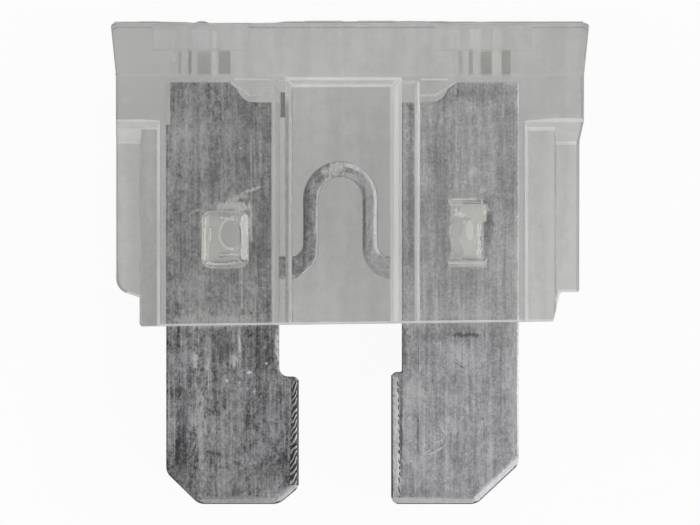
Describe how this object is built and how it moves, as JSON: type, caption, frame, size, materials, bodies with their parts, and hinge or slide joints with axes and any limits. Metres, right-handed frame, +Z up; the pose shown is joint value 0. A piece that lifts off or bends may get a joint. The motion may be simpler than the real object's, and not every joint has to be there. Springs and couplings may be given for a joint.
{
  "type": "blade fuse",
  "caption": "Plug-in blade fuse: a clear moulded housing with a flared head, staked onto a stamped zinc element with flat blades and an arched link.",
  "frame": {"origin": "under the middle of the bounding box, on the surface that the fuse lies on", "axes": "+Y from the blade tips to the head, +X to the right of the front face, +Z up out of the front face"},
  "size_m": [0.019, 0.0194, 0.0051],
  "materials": {
    "housing": "clear, slightly hazy moulded polycarbonate",
    "zinc": "rolled zinc sheet with fine lengthwise streaks and handling scratches"
  },
  "bodies": {
    "root": {"housing": "housing", "fuse_element": "zinc"}
  },
  "joints": []
}
